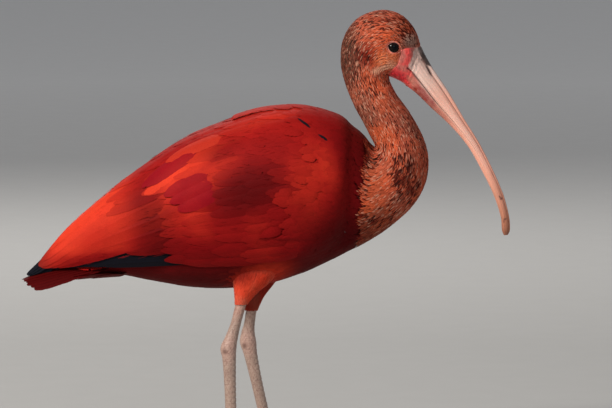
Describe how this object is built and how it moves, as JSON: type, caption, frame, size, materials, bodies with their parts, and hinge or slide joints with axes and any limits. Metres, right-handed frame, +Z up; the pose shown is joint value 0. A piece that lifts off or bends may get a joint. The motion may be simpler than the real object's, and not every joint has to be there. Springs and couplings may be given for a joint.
{
  "type": "scarlet ibis",
  "caption": "Life-size scarlet ibis, a wading bird standing still on both feet with folded wings, an S-curved neck and a long down-curved bill.",
  "frame": {"origin": "on the floor under the middle of the bird's bounding box, between its feet and tail", "axes": "+X the way the bird faces (its length, tail to bill), +Y its left side, +Z up"},
  "size_m": [0.3514, 0.1024, 0.3317],
  "materials": {
    "bill": "satin horn, pale pink",
    "body_feathers": "soft scarlet vaned feathers",
    "claw": "dark horn",
    "eye": "wet glossy dark brown",
    "leg_skin": "dry scaled skin, pale pink",
    "neck_feathers": "short salmon feathers mottled with dark brown"
  },
  "bodies": {
    "root": {"bill_lower": "bill", "bill_upper": "bill", "claw_hind_left": "claw", "claw_hind_right": "claw", "claw_inner_left": "claw", "claw_inner_right": "claw", "claw_middle_left": "claw", "claw_middle_right": "claw", "claw_outer_left": "claw", "claw_outer_right": "claw", "eye_left": "eye", "eye_right": "eye", "foot_left": "leg_skin", "foot_right": "leg_skin", "head": "neck_feathers", "neck_lower": "neck_feathers", "neck_upper": "neck_feathers", "shank_left": "leg_skin", "shank_right": "leg_skin", "tail": "body_feathers", "tarsus_left": "leg_skin", "tarsus_right": "leg_skin", "thigh_left": "body_feathers", "thigh_right": "body_feathers", "torso": "body_feathers", "wing_left": "body_feathers", "wing_right": "body_feathers"}
  },
  "joints": []
}
